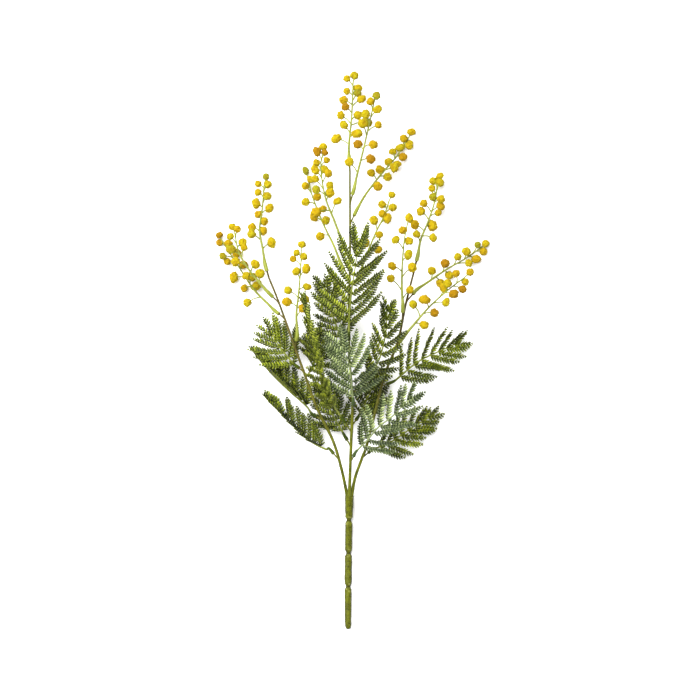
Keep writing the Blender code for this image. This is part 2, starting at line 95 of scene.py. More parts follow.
class Draft:
    def __init__(self):
        self.points, self.faces, self.slots, self.tone, self.mark = [], [], [], [], []

    def add(self, points, faces, tone=0.5, mark=0.0, slot=0):
        first = len(self.points)
        self.points.extend(points)
        self.faces.extend(tuple(first + k for k in face) for face in faces)
        self.slots.extend([slot] * len(faces))
        count = len(points)
        self.tone.extend(tone if isinstance(tone, list) else [tone] * count)
        self.mark.extend(mark if isinstance(mark, list) else [mark] * count)

    def finish(self, name, materials, nodeName, slotName, sharpDegrees=50):
        mesh = bpy.data.meshes.new(name)
        mesh.from_pydata([Vector(p) * mm for p in self.points], [], self.faces)
        for label, values in (("tone", self.tone), ("mark", self.mark)):
            layer = mesh.attributes.new(label, "FLOAT", "POINT")
            layer.data.foreach_set("value", np.array(values, dtype=np.float32))
        for finish in materials:
            mesh.materials.append(finish)
        mesh.polygons.foreach_set("material_index", np.array(self.slots, dtype=np.int32))
        mesh.shade_smooth()
        mesh.set_sharp_from_angle(angle=math.radians(sharpDegrees))
        piece = bpy.data.objects.new(name, mesh)
        bpy.context.scene.collection.objects.link(piece)
        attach(piece, "root")
        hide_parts(nodeName)
        return piece


# a closed tube. tone and mark are values, or functions of the share of the path that is gone, and
# hollow is the radius and depth of a blind hole in its first end
def tube(draft, path, radii, sides, up=Vector((0, 0, 1)), tone=0.5, mark=0.0, hollow=None):
    points, faces, tones, marks = [], [], [], []
    ways = tangents(path)

    def ring(centre, way, radius, share):
        first = len(points)
        n = squareTo(way, up)
        s = way.cross(n)
        for k in range(sides):
            turn = 2 * math.pi * (k + 0.5) / sides
            points.append(centre + (n * math.cos(turn) + s * math.sin(turn)) * radius)
            tones.append(tone(share) if callable(tone) else tone)
            marks.append(mark(share) if callable(mark) else mark)
        return range(first, first + sides)

    def band(low, high):
        for k in range(sides):
            n = (k + 1) % sides
            faces.append((low[k], low[n], high[n], high[k]))

    last = len(path) - 1
    rings = [ring(p, w, r, i / last) for i, (p, w, r) in enumerate(zip(path, ways, radii))]
    for low, high in zip(rings, rings[1:]):
        band(low, high)
    faces.append(tuple(rings[-1]))
    if hollow:
        radius, depth = hollow
        mouth = ring(path[0], ways[0], radius, 0.0)
        end = ring(path[0] + ways[0] * depth, ways[0], radius, 0.0)
        band(mouth, rings[0])
        band(end, mouth)
        faces.append(tuple(end)[::-1])
    else:
        faces.append(tuple(rings[0])[::-1])
    draft.add(points, faces, tones, marks)


# shader helpers. A Mix node's float inputs are 2 and 3, its colours 6, 7 and output 2.

# two sizes of uneven dye over moulded plastic, and a height for its small dents
def mottleGroup():
    group = bpy.data.node_groups.new("unevenDye", "ShaderNodeTree")
    for label, kind, value in (
        ("Light", "NodeSocketColor", (1, 1, 1, 1)),
        ("Dark", "NodeSocketColor", (0, 0, 0, 1)),
        ("Patch Scale", "NodeSocketFloat", 60.0),
        ("Grain Scale", "NodeSocketFloat", 900.0),
        ("Grain Share", "NodeSocketFloat", 0.35),
    ):
        socket = group.interface.new_socket(name=label, in_out="INPUT", socket_type=kind)
        socket.default_value = value
    for label, kind in (("Colour", "NodeSocketColor"), ("Height", "NodeSocketFloat")):
        group.interface.new_socket(name=label, in_out="OUTPUT", socket_type=kind)
    nodes, links = group.nodes, group.links
    start, end = nodes.new("NodeGroupInput"), nodes.new("NodeGroupOutput")
    where = nodes.new("ShaderNodeTexCoord")
    patch, grain = nodes.new("ShaderNodeTexNoise"), nodes.new("ShaderNodeTexNoise")
    for texture, detail, scale in ((patch, 3, "Patch Scale"), (grain, 2, "Grain Scale")):
        texture.inputs["Detail"].default_value = detail
        links.new(where.outputs["Object"], texture.inputs["Vector"])
        links.new(start.outputs[scale], texture.inputs["Scale"])
    blend = nodes.new("ShaderNodeMix")
    blend.data_type = "FLOAT"
    links.new(start.outputs["Grain Share"], blend.inputs["Factor"])
    links.new(patch.outputs["Fac"], blend.inputs[2])
    links.new(grain.outputs["Fac"], blend.inputs[3])
    # the noise keeps near its middle, which is spread over the whole range here
    spread = nodes.new("ShaderNodeMapRange")
    spread.inputs["From Min"].default_value = 0.32
    spread.inputs["From Max"].default_value = 0.68
    links.new(blend.outputs[0], spread.inputs["Value"])
    colour = nodes.new("ShaderNodeMix")
    colour.data_type = "RGBA"
    links.new(spread.outputs["Result"], colour.inputs["Factor"])
    links.new(start.outputs["Dark"], colour.inputs[6])
    links.new(start.outputs["Light"], colour.inputs[7])
    links.new(colour.outputs[2], end.inputs["Colour"])
    links.new(grain.outputs["Fac"], end.inputs["Height"])
    return group


unevenDye = mottleGroup()


def attributeValue(nodes, label):
    node = nodes.new("ShaderNodeAttribute")
    node.attribute_name = label
    return node.outputs["Fac"]


def mixColour(nodes, links, factor, a, b, kind="MIX"):
    node = nodes.new("ShaderNodeMix")
    node.data_type = "RGBA"
    node.blend_type = kind
    for socket, value in ((node.inputs["Factor"], factor), (node.inputs[6], a), (node.inputs[7], b)):
        if isinstance(value, (int, float)):
            socket.default_value = value
        elif isinstance(value, tuple):
            socket.default_value = (*value, 1)
        else:
            links.new(value, socket)
    return node.outputs[2]


def ramp(nodes, links, value, stops):
    node = nodes.new("ShaderNodeValToRGB")
    while len(node.color_ramp.elements) < len(stops):
        node.color_ramp.elements.new(0.5)
    for element, (place, colour) in zip(node.color_ramp.elements, stops):
        element.position = place
        element.color = (*colour, 1)
    links.new(value, node.inputs["Fac"])
    return node.outputs["Color"]


def startMaterial(name, look):
    made = bpy.data.materials.new(name)
    made.use_nodes = True
    nodes, links = made.node_tree.nodes, made.node_tree.links
    shader = nodes["Principled BSDF"]
    shader.inputs["Roughness"].default_value = look["roughness"]
    shader.inputs["Specular IOR Level"].default_value = look["specular"]
    return made, nodes, links, shader


# scales are those of the patches and the grain, and the grain's share of the two
def dye(nodes, light, dark, scales):
    node = nodes.new("ShaderNodeGroup")
    node.node_tree = unevenDye
    node.inputs["Light"].default_value = (*light, 1)
    node.inputs["Dark"].default_value = (*dark, 1)
    for label, value in zip(("Patch Scale", "Grain Scale", "Grain Share"), scales):
        node.inputs[label].default_value = value
    return node


# dents are their strength and their depth in metres
def bump(nodes, links, height, shader, dents):
    node = nodes.new("ShaderNodeBump")
    node.inputs["Strength"].default_value, node.inputs["Distance"].default_value = dents
    links.new(height, node.inputs["Height"])
    links.new(node.outputs["Normal"], shader.inputs["Normal"])


def stemMaterial(look):
    made, nodes, links, shader = startMaterial("mouldedStem", look)
    base = dye(nodes, look["light"], look["dark"], look["scales"])
    worn = mixColour(nodes, links, attributeValue(nodes, "mark"), base.outputs["Colour"], look["worn"])
    # tone mixes in the dark of the joints: painted shade along both sides and in the joints' creases,
    # over their own darker colour
    darkenedAndShaded = mixColour(nodes, links, attributeValue(nodes, "tone"), look["jointDarkAndShade"], worn)
    links.new(darkenedAndShaded, shader.inputs["Base Color"])
    bump(nodes, links, base.outputs["Height"], shader, look["dents"])
    return made


def branchMaterial(look):
    made, nodes, links, shader = startMaterial("branchPlastic", look)
    low = dye(nodes, look["lowLight"], look["lowDark"], look["lowScales"])
    high = dye(nodes, look["highLight"], look["highDark"], look["highScales"])
    share = attributeValue(nodes, "tone")
    both = mixColour(nodes, links, share, low.outputs["Colour"], high.outputs["Colour"])
    links.new(both, shader.inputs["Base Color"])
    bump(nodes, links, low.outputs["Height"], shader, look["dents"])
    return made


def leafMaterial(name, look):
    made, nodes, links, shader = startMaterial(name, look)
    body = ramp(nodes, links, attributeValue(nodes, "tone"), look["tones"])
    # the mark mixes in a pale colour: painted highlight on the leaflets' margins and ends; it also pales
    # the ribs
    paledAndHighlighted = mixColour(nodes, links, attributeValue(nodes, "mark"), body, look["edge"])
    cloud = dye(nodes, (1, 1, 1), look["cloud"], look["scales"])
    clouded = mixColour(nodes, links, 1.0, paledAndHighlighted, cloud.outputs["Colour"], "MULTIPLY")
    links.new(clouded, shader.inputs["Base Color"])
    bump(nodes, links, cloud.outputs["Height"], shader, look["dents"])
    return made


def stalkMaterial(look):
    made, nodes, links, shader = startMaterial("flowerStalk", look)
    base = dye(nodes, look["light"], look["dark"], look["scales"])
    inSocket = attributeValue(nodes, "mark")
    both = mixColour(nodes, links, inSocket, base.outputs["Colour"], look["socket"])
    links.new(both, shader.inputs["Base Color"])
    bump(nodes, links, base.outputs["Height"], shader, look["dents"])
    return made


def flowerMaterial(look):
    made, nodes, links, shader = startMaterial("flockedHead", look)
    shader.inputs["Sheen Weight"].default_value = look["sheen"]
    shader.inputs["Sheen Roughness"].default_value = look["sheenRoughness"]
    shader.inputs["Sheen Tint"].default_value = (*look["sheenTint"], 1)
    ripe = ramp(nodes, links, attributeValue(nodes, "tone"), look["tones"])
    crumbs = dye(nodes, (1, 1, 1), look["crevice"], look["scales"])
    grained = mixColour(nodes, links, look["crumbShare"], ripe, crumbs.outputs["Colour"], "MULTIPLY")
    # the mark mixes in the deep colour: ochre spots, and painted shade in the hollows between lumps
    deep = mixColour(nodes, links, attributeValue(nodes, "mark"), grained, look["deep"])
    links.new(deep, shader.inputs["Base Color"])
    bump(nodes, links, crumbs.outputs["Height"], shader, look["dents"])
    return made


# the stem

stem = {
    "path": ((0, -2.5, 2.25), (0, 28, 2.25), (0.3, 68, 2.6), (0.8, 102, 6.3), (1.3, 132, 12.3)),
    "length": 136,  # of its path
    "ringsPerMm": 2,
    "sides": 40,
    "radius": 3.7,
    "footRound": 4.0,  # the length of its rounded end
    "footThinner": 0.5,  # how much thinner it is at its foot
    "thinnerTo": 50.0,
    "joints": (43.0, 77.0, 111.0),  # distances from the foot
    "neckRadius": 2.3,
    "neckReach": 3.0,
    "topRadius": 4.6,
    "flareFrom": 111.0,
    "flareLength": 25.0,
    "cup": ((0.86, 0.7), (0.66, 0.75), (0.4, 0.2), (0.15, -0.1)),  # (share of the top's radius, rise)
    "lump": 0.3,
    "fineLump": 0.2,
    "jointDarkAndShadeReach": 0.7,
    "sideShadeFrom": 0.6,  # the sine of the turn from which painted shade darkens the sides
    "light": (0.135, 0.150, 0.003),
    "dark": (0.020, 0.021, 0.001),
    "worn": (0.34, 0.34, 0.09),
    # the dark of the joints, which also serves as painted shade in their creases and along both sides
    "jointDarkAndShade": (0.020, 0.019, 0.001),
    "scales": (260, 900, 0.5),
    "dents": (0.6, 0.0008),
    "roughness": 0.5,
    "specular": 0.14,
}


def toJoint(at):
    return min(abs(at - joint) for joint in stem["joints"])


def stemRadius(at):
    swell = stem["radius"] - stem["footThinner"] * max(0.0, 1 - at / stem["thinnerTo"])
    if at > stem["flareFrom"]:
        flare = (at - stem["flareFrom"]) / stem["flareLength"]
        swell += (stem["topRadius"] - stem["radius"]) * flare
    near = toJoint(at) / stem["neckReach"]
    if near < 1:
        swell += (stem["neckRadius"] - swell) * (1 - near ** 1.6)
    if at < stem["footRound"]:
        rounding = min(1.0, at / stem["footRound"] + 0.02)
        swell *= 0.36 + 0.64 * math.sin(math.pi / 2 * rounding) ** 0.6
    return swell


def buildStem(finish):
    path = smoothPath([shifted(p) for p in stem["path"]], stem["length"] * stem["ringsPerMm"])
    ways = tangents(path)
    points, faces, marks, tones = [], [], [], []
    sides = stem["sides"]
    for i, (p, way) in enumerate(zip(path, ways)):
        at = i / stem["ringsPerMm"]
        near = toJoint(at)
        n = squareTo(way, Vector((0, 0, 1)))
        s = way.cross(n)
        for k in range(sides):
            turn = 2 * math.pi * (k + 0.5) / sides
            out = n * math.cos(turn) + s * math.sin(turn)
            place = Vector((math.cos(turn) * 0.8, math.sin(turn) * 0.8, at * 0.16))
            lump = noise.noise(place) * stem["lump"] + noise.noise(place * 3.1) * stem["fineLump"]
            q = p + out * (stemRadius(at) + lump)
            points.append(Vector((q.x, q.y, max(q.z, 0.0))))
            # painted shade darkens both sides, and the joints, darker in their own colour, take painted
            # shade in their creases as well
            side = max(0.0, abs(math.sin(turn)) - stem["sideShadeFrom"]) / (1 - stem["sideShadeFrom"])
            jointDarkAndShade = math.exp(-((near / stem["jointDarkAndShadeReach"]) ** 2))
            tones.append((1 - 0.9 * jointDarkAndShade) * (1 - 0.75 * side))
            # and it is worn off in spots a little away from each joint
            spot = max(0.0, noise.noise(Vector((out.x, out.z, at * 0.35)) * 1.7) - 0.1)
            marks.append(min(1.0, spot * 1.5 * max(0.0, 1 - abs(near - 3.2) / 2.6)))
    rows = len(path)
    for i in range(rows - 1):
        for k in range(sides):
            n = (k + 1) % sides
            faces.append((i * sides + k, i * sides + n, (i + 1) * sides + n, (i + 1) * sides + k))
    faces.append(tuple(range(sides))[::-1])
    # the top closes in a shallow cup, from which the branches stand
    top, way = path[-1], ways[-1]
    rim = [(rows - 1) * sides + k for k in range(sides)]
    outer = rim
    for inward, rise in stem["cup"]:
        inner = []
        for k in rim:
            inner.append(len(points))
            points.append(top + (points[k] - top) * inward + way * rise)
            marks.append(0.0)
            tones.append(0.6)
        for k in range(sides):
            n = (k + 1) % sides
            faces.append((outer[k], outer[n], inner[n], inner[k]))
        outer = inner
    faces.append(tuple(outer))
    draft = Draft()
    draft.add(points, faces, tones, marks)
    draft.finish("stem_moulded", [finish], "stem", "moulded_stem")


# the branches. browns is how far each turns brown toward its tip.

branches = {
    "left": {
        "rootAngle": 205, "browns": 0.85,
        "path": ((-6.4, 159, 19), (-15, 188, 27), (-31, 221, 33), (-43, 254, 36), (-56, 290, 36),
                 (-70, 329, 33), (-79, 351, 31)),
    },
    "centre": {
        "rootAngle": 90, "browns": 0.4,
        "path": ((2.5, 169, 25), (3.2, 188, 30), (4.5, 229, 38), (1.5, 269, 42), (1, 315, 44),
                 (2, 379, 44), (1.9, 457, 38)),
    },
    "right": {
        "rootAngle": -25, "browns": 1.0,
        "path": ((7.5, 152, 17), (14.2, 171, 23), (20, 188, 27), (36.4, 253, 34), (49.4, 286, 35),
                 (58, 326, 32), (66.6, 360, 28)),
    },
}
branch = {
    "rootRing": 2.35,  # how far the three stand from the middle of the stem's top
    "tenonLength": 5.0,
    "radius": 1.65,
    "rootSwell": 0.45,
    "tipRadius": 1.0,
    "sides": 18,
    "pegRadius": 0.8,
    "pegSwell": 0.55,  # how much thicker a peg is where it leaves the branch
    "pegSwellLength": 3.2,
    "pegShorter": 0.5,  # how far a peg ends before the end of its socket
    "pegSides": 12,
    "socketDepth": 6.0,
    "socketRadius": 1.9,
    "tipSocketRadius": 2.1,
    "socketClearance": 0.35,
    "lowLight": (0.148, 0.162, 0.009),
    "lowDark": (0.028, 0.035, 0.002),
    "lowScales": (120, 1400, 0.4),
    "highLight": (0.115, 0.082, 0.018),
    "highDark": (0.026, 0.020, 0.006),
    "highScales": (140, 1400, 0.5),
    "dents": (0.3, 0.0003),
    "roughness": 0.55,
    "specular": 0.12,
}


def branchPath(name):
    top, below = shifted(stem["path"][-1]), shifted(stem["path"][-2])
    way = (top - below).normalized()
    up = squareTo(way, Vector((0, 0, 1)))
    side = way.cross(up)
    angle = math.radians(branches[name]["rootAngle"])
    ring = branch["rootRing"]
    root = top + side * ring * math.cos(angle) + up * ring * math.sin(angle)
    return root, way, [root, *(shifted(p) for p in branches[name]["path"])]


branchLines = {name: smoothPath(branchPath(name)[2], 200) for name in branches}


# where a frond or spray leaves its branch, the way it takes and its line, straight in the socket
def seatOnBranch(spec):
    points = [shifted(p) for p in spec["line"]]
    fine = branchLines[spec["branch"]]
    mouth = points[0]
    if spec["leavesAt"] is None:
        start = fine[-1]
    else:
        place = shifted((*spec["leavesAt"], 0))
        start = min(fine, key=lambda p: (p.x - place.x) ** 2 + (p.y - place.y) ** 2)
    way = (mouth - start).normalized()
    return start, way, [mouth, mouth + way * (branch["socketDepth"] + 1.5), *points[1:]]


def buildBranch(name, finish, specs):
    root, way, points = branchPath(name)
    path = [root - way * branch["tenonLength"], *smoothPath(points, 160)]
    last = len(path) - 1
    radii = []
    for k in range(last + 1):
        share = k / last
        radius = branch["radius"] + (branch["tipRadius"] - branch["radius"]) * share
        radius *= 1 + 0.05 * noise.noise(Vector((share * 40, len(name), 0)))
        radii.append(radius + branch["rootSwell"] * max(0.0, 1 - share * 14) ** 2)
    pegEnd = branch["socketDepth"] - branch["pegShorter"]
    tip = next(s for s in specs if s["leavesAt"] is None)
    start, tipWay, line = seatOnBranch(tip)
    path += [line[0] + tipWay * pegEnd]
    radii.append(branch["tipRadius"])

    def browning(share):
        return branches[name]["browns"] * min(1.0, max(0.0, (share - 0.12) * 1.5))

    draft = Draft()
    tube(draft, path, radii, branch["sides"], tone=browning)
    for spec in specs:
        if spec["leavesAt"] is None:
            continue
        start, pegWay, line = seatOnBranch(spec)
        length = (line[0] - start).length + pegEnd
        steps = 10
        pegPath, pegRadii = [], []
        for k in range(steps + 1):
            gone = length * k / steps
            swell = branch["pegSwell"] * max(0.0, 1 - gone / branch["pegSwellLength"]) ** 2
            pegPath.append(start + pegWay * gone)
            pegRadii.append(branch["pegRadius"] + swell)
        share = (start.y - root.y) / (points[-1].y - root.y)
        tube(draft, pegPath, pegRadii, branch["pegSides"], tone=browning(share))
    draft.finish("branch_" + name + "_moulded", [finish], "branch_" + name, "branch")


# the fronds. faces is the way that a frond looks, fold how many degrees its pinnae stand up from its
# plane, pinna the length of the longest, and denser how many pairs stand here for each pair of the
# plain solid, over the same length.

fronds = {
    "centre_front": {
        "branch": "centre", "dye": "green", "leavesAt": (1, 281), "faces": (0, 0, 1),
        "fold": 14, "pairs": 7, "pinna": 44, "seed": 1, "denser": 1.3,
        "line": ((1, 290, 52), (1.5, 315, 62), (4, 340, 69), (7, 360, 73), (9.5, 379, 75)),
    },
    "centre_grey": {
        "branch": "centre", "dye": "grey", "leavesAt": (4.5, 214), "faces": (0, 0, 1),
        "fold": 8, "pairs": 6, "pinna": 36, "seed": 2, "denser": 1.35,
        "line": ((5, 224.5, 47), (4.5, 234.5, 52), (3, 252, 60), (0, 268, 63), (-6, 281, 62)),
    },
    "centre_ridge": {
        "branch": "centre", "dye": "green", "leavesAt": (3.2, 196), "faces": (-0.25, 0.1, 1),
        "fold": 62, "pairs": 7, "pinna": 25, "seed": 3, "denser": 1.9,
        "line": ((-3, 207, 40), (-14, 224, 52), (-24, 246, 62), (-30, 268, 68), (-35, 294, 70),
                 (-41, 322, 64)),
    },
    "centre_arch": {
        "branch": "centre", "dye": "deep", "leavesAt": (4, 236), "faces": (0.2, 0, 1),
        "fold": 16, "pairs": 6, "pinna": 27, "seed": 4, "denser": 1.5,
        "line": ((9, 240, 43), (21, 252, 46), (31, 270, 48), (37, 293, 49), (39, 316, 46)),
    },
    "centre_back": {
        "branch": "centre", "dye": "deep", "leavesAt": (1, 276), "faces": (0, 0, 1),
        "fold": -4, "pairs": 5, "pinna": 27, "seed": 5, "denser": 1.6,
        "line": ((-3, 282, 36), (-8, 294, 30), (-14, 310, 26), (-19, 326, 23), (-23, 340, 21)),
    },
    "low_left_back": {
        "branch": "centre", "dye": "deep", "leavesAt": (2.8, 182), "faces": (0, 0.1, 1),
        "fold": 0, "pairs": 5, "pinna": 28, "seed": 6, "denser": 1.6,
        "line": ((-1, 189, 24), (-9, 203, 17), (-18, 219, 12), (-25, 236, 10)),
    },
    "low_right_back": {
        "branch": "centre", "dye": "deep", "leavesAt": (3.5, 203), "faces": (0, 0, 1),
        "fold": 0, "pairs": 5, "pinna": 27, "seed": 7, "denser": 1.6,
        "line": ((8, 209, 28), (14, 219, 20), (21, 233, 14), (27, 248, 11)),
    },
    "low_right_grey": {
        "branch": "centre", "dye": "grey", "leavesAt": (2.5, 167), "faces": (0.1, 0, 1),
        "fold": 12, "pairs": 6, "pinna": 33, "seed": 8, "denser": 1.35,
        "line": ((5.8, 173, 31), (20, 190, 43), (30, 202, 48), (45, 214, 51), (58, 228, 51)),
    },
    "left_spread": {
        "branch": "left", "dye": "bright", "leavesAt": (-44, 257), "faces": (0, 0, 1),
        "fold": 6, "pairs": 6, "pinna": 36, "seed": 9, "denser": 1.0,
        "line": ((-49, 261, 31), (-57, 268, 27), (-66, 279, 25), (-75, 292, 23)),
    },
    "left_edge": {
        "branch": "left", "dye": "deep", "leavesAt": (-24, 208), "faces": (0.62, 0.5, 0.6),
        "fold": 52, "pairs": 6, "pinna": 26, "seed": 10, "denser": 2.0,
        "line": ((-31, 212, 27), (-42, 223, 24), (-58, 237, 20), (-75, 253, 14), (-90, 270, 8)),
    },
    "left_low": {
        "branch": "left", "dye": "bright", "leavesAt": (-9.6, 169), "faces": (0.35, 0.75, 0.55),
        "fold": 38, "pairs": 6, "pinna": 25, "seed": 11, "denser": 1.6,
        "line": ((-14.5, 175, 19), (-23, 179.7, 17.5), (-39, 188, 14), (-55, 203, 10.5), (-76, 224, 6.5)),
    },
    "left_inner": {
        "branch": "left", "dye": "deep", "leavesAt": (-42, 252), "faces": (0, 0, 1),
        "fold": 0, "pairs": 4, "pinna": 25, "seed": 12, "denser": 1.75,
        "line": ((-38, 258, 29), (-34, 266, 22), (-33, 277, 16), (-34, 289, 12)),
    },
    "right_spread": {
        "branch": "right", "dye": "bright", "leavesAt": (33, 243), "faces": (0.1, -0.15, 1),
        "fold": 10, "pairs": 6, "pinna": 34, "seed": 13, "denser": 1.35,
        "line": ((39, 245, 30), (49, 250, 26), (70, 267, 21), (90, 277, 16), (106, 284, 11)),
    },
    "right_low": {
        "branch": "right", "dye": "bright", "leavesAt": (14.2, 171), "faces": (0.1, 0.1, 1),
        "fold": 10, "pairs": 6, "pinna": 27, "seed": 14, "denser": 1.35,
        "line": ((20.6, 176, 18), (30, 181, 15), (44, 187, 12), (62, 199, 8), (80, 210, 5)),
    },
}
pinnaShape = {
    "bareMidrib": 0.2,  # the share of the midrib before the first pair
    "lean": 58,  # degrees from the midrib at the first pair
    "leanLoss": 34,  # and how much less at the last
    "swing": 6,  # degrees either way
    "reach": (0.9, 1.14),
    "curl": (0.02, 0.2),
    "droop": (0, 0.09),
    "tilt": 24,  # degrees about its own rib
    "ribRadius": 0.42,
    "ribSteps": 12,
    "ribSides": 6,
    "tones": (-0.14, 0.16),
    "shadedBy": 0.38,
    "shadedShare": 0.8,
}
leaflet = {
    "spacing": 2.7,
    "reach": 5.3,
    "width": 2.6,
    "tipReach": 2.6,  # of the one at the end of a pinna
    "tipWidth": 0.9,
    "thickness": 0.34,
    "lean": 60,  # degrees from the rib
    "leanLoss": 14,
    "lift": 30,  # degrees out of the pinna's plane, as a shallow V
    "tone": 0.70,
    "toneSpread": 0.22,
    "shadeAtRib": 0.55,  # how much painted shade darkens it at its rib
    "shadeAtLowerEdge": 0.7,  # how much painted shade darkens its lower margin
    # stations of (share of its length, share of its width, rise of the middle)
    "stations": ((0.0, 0.92, 0.0), (0.2, 0.98, 0.1), (0.46, 0.86, 0.14), (0.76, 0.62, 0.1),
                 (0.94, 0.36, 0.04)),
}
midribShape = {
    "steps": 60,
    "sides": 14,
    "radius": 1.05,
    "radiusLoss": 0.5,
    "socketLength": 8.2,
    "socketFade": 3.0,
}
leafSurface = {"scales": (70, 1300, 0.3), "dents": (0.2, 0.0002), "specular": 0.1}
# each dye's pale colour, mixed in by the mark, is painted highlight on the leaflets' margins and ends,
# and it also pales the ribs
leafDyes = {
    "green": {
        "tones": ((0.0, (0.004, 0.009, 0.001)), (0.5, (0.060, 0.088, 0.004)), (1.0, (0.49, 0.53, 0.04))),
        "edge": (0.46, 0.48, 0.12), "cloud": (0.5, 0.55, 0.3), "roughness": 0.5,
    },
    "bright": {
        "tones": ((0.0, (0.005, 0.011, 0.001)), (0.5, (0.075, 0.106, 0.004)), (1.0, (0.49, 0.54, 0.035))),
        "edge": (0.44, 0.46, 0.09), "cloud": (0.5, 0.55, 0.3), "roughness": 0.5,
    },
    "deep": {
        "tones": ((0.0, (0.002, 0.006, 0.001)), (0.5, (0.041, 0.061, 0.003)), (1.0, (0.42, 0.46, 0.03))),
        "edge": (0.36, 0.38, 0.07), "cloud": (0.45, 0.52, 0.3), "roughness": 0.5,
    },
    "grey": {
        "tones": ((0.0, (0.006, 0.015, 0.004)), (0.5, (0.083, 0.118, 0.038)), (1.0, (0.58, 0.65, 0.28))),
        "edge": (0.52, 0.56, 0.32), "cloud": (0.55, 0.62, 0.45), "roughness": 0.55,
    },
}


def frondPinnae(spec):
    steps = 80
    midrib = smoothPath(seatOnBranch(spec)[2], steps)
    ways = tangents(midrib)
    fold = math.radians(spec["fold"])
    bare = pinnaShape["bareMidrib"]
    draw = random.Random(spec["seed"])
    found = []
    pairs = round(spec["pairs"] * spec["denser"])
    for k in range(pairs):
        share = k / (pairs - 1)
        i = round((bare + (1 - bare) * share) * steps)
        way = ways[i]
        up = squareTo(way, Vector(spec["faces"]))
        across = way.cross(up)
        lean = math.radians(pinnaShape["lean"] - pinnaShape["leanLoss"] * share ** 1.3)
        # the longest pair stands about a third of the way up
        arch = math.sin(math.pi * min(1.0, 0.25 + 0.75 * share))
        length = spec["pinna"] * (0.72 + 0.28 * arch - 0.12 * share)
        for turn in (1, -1):
            out = across * turn * math.cos(fold) + up * math.sin(fold)
            blade = up * math.cos(fold) - across * turn * math.sin(fold)
            swing = lean + math.radians(draw.uniform(-pinnaShape["swing"], pinnaShape["swing"]))
            reach = length * draw.uniform(*pinnaShape["reach"])
            curl, droop = draw.uniform(*pinnaShape["curl"]), draw.uniform(*pinnaShape["droop"])
            along = way * math.cos(swing) + out * math.sin(swing)
            found.append((midrib[i], along, blade, way, reach, curl, droop))
    return found


def leafletMesh(root, along, across, normal, length, width, curl):
    points, faces = [], []
    for at, broad, rise in leaflet["stations"]:
        p = root + along * length * at + normal * (rise * width - curl * length * at * at)
        h = broad * width / 2
        t = leaflet["thickness"] / 2 * (1 - 0.5 * at)
        points += [p + across * h - normal * rise * width * 0.9, p + normal * t,
                   p - across * h - normal * rise * width * 0.9, p - normal * t]
    last = 4 * (len(leaflet["stations"]) - 1)
    for a in range(0, last, 4):
        for k in range(4):
            n = (k + 1) % 4
            faces.append((a + k, a + n, a + 4 + n, a + 4 + k))
    tip = len(points)
    points.append(root + along * length - normal * curl * length)
    for k in range(4):
        faces.append((last + k, last + (k + 1) % 4, tip))
    faces.append((3, 2, 1, 0))
    return points, faces


# tones and marks of a leaflet's points: painted shade at its rib and along its lower margin, painted
# highlight along its other margin and at its end
def leafletToneAndPaintedLight(tone, turn):
    tones, marks = [], []
    order = (0, 1, 2, 3) if turn > 0 else (2, 1, 0, 3)
    for at, _, _ in leaflet["stations"]:
        shade = tone - leaflet["shadeAtRib"] * (1 - at) ** 1.5
        lower = shade - leaflet["shadeAtLowerEdge"] * (1 - 0.5 * at)
        shades = (shade + 0.1, shade + 0.05, lower, lower)
        highlights = (0.6 * at, 0.12 * at, 0.0, 0.0)
        tones += [min(1.0, max(0.0, shades[n])) for n in order]
        marks += [highlights[n] for n in order]
    return tones + [min(1.0, tone + 0.1)], marks + [0.7]


def buildPinna(draft, draw, root, way, normal, ahead, length, curl, droop):
    sweep = squareTo(way, ahead)
    tilt = Matrix.Rotation(math.radians(pinnaShape["tilt"]), 3, way)
    normal = tilt @ squareTo(way, normal)

    def axisAt(share):
        return root + way * length * share + (sweep * curl - normal * droop) * length * share * share

    steps = pinnaShape["ribSteps"]
    rib = [axisAt(k / steps) for k in range(steps + 1)]
    ribRadii = [pinnaShape["ribRadius"] * (1 - 0.55 * k / steps) for k in range(steps + 1)]
    tube(draft, rib, ribRadii, pinnaShape["ribSides"], up=normal, tone=0.62, mark=0.5)
    count = max(4, round(length / leaflet["spacing"]))
    pinnaTone, toneSpread = draw.uniform(*pinnaShape["tones"]), leaflet["toneSpread"]
    # on most pinnae, painted shade darkens the row of leaflets nearer the stem's foot
    shadedRow = 1 if way.cross(normal).y < 0 else -1
    shadedBy = pinnaShape["shadedBy"] if draw.random() < pinnaShape["shadedShare"] else 0.0
    for k in range(1, count + 1):
        share = k / count
        middle = axisAt(share - 0.2 / count)
        ribWay = (axisAt(share) - axisAt(max(0.0, share - 0.1))).normalized()
        face = squareTo(ribWay, normal)
        across = ribWay.cross(face)
        size = min(1.0, 0.72 + 2.2 * share) * min(1.0, 0.42 + 2.4 * (1 - share))
        for turn in (1, -1):
            lean = math.radians(leaflet["lean"] - leaflet["leanLoss"] * share + draw.uniform(-5, 5))
            lift = math.radians(leaflet["lift"] + draw.uniform(-9, 9))
            out = across * turn * math.cos(lift) + face * math.sin(lift)
            along = (ribWay * math.cos(lean) + out * math.sin(lean)).normalized()
            bladeUp = squareTo(along, face * math.cos(lift) - across * turn * math.sin(lift))
            bladeSide = bladeUp.cross(along)
            reach = leaflet["reach"] * size * draw.uniform(0.93, 1.07)
            width = leaflet["width"] * size ** 0.5
            bend = draw.uniform(-0.06, 0.12)
            points, faces = leafletMesh(middle, along, bladeSide, bladeUp, reach, width, bend)
            tone = leaflet["tone"] + pinnaTone + draw.uniform(-toneSpread, toneSpread)
            if turn == shadedRow:
                tone -= shadedBy
            draft.add(points, faces, *leafletToneAndPaintedLight(tone, turn))
    end = axisAt(1.0)
    endWay = (end - axisAt(0.9)).normalized()
    points, faces = leafletMesh(end - way * 0.6, endWay, way.cross(normal), normal,
                                leaflet["tipReach"], leaflet["tipWidth"], 0.0)
    # its mark mixes in some painted highlight
    draft.add(points, faces, 0.7, 0.3)


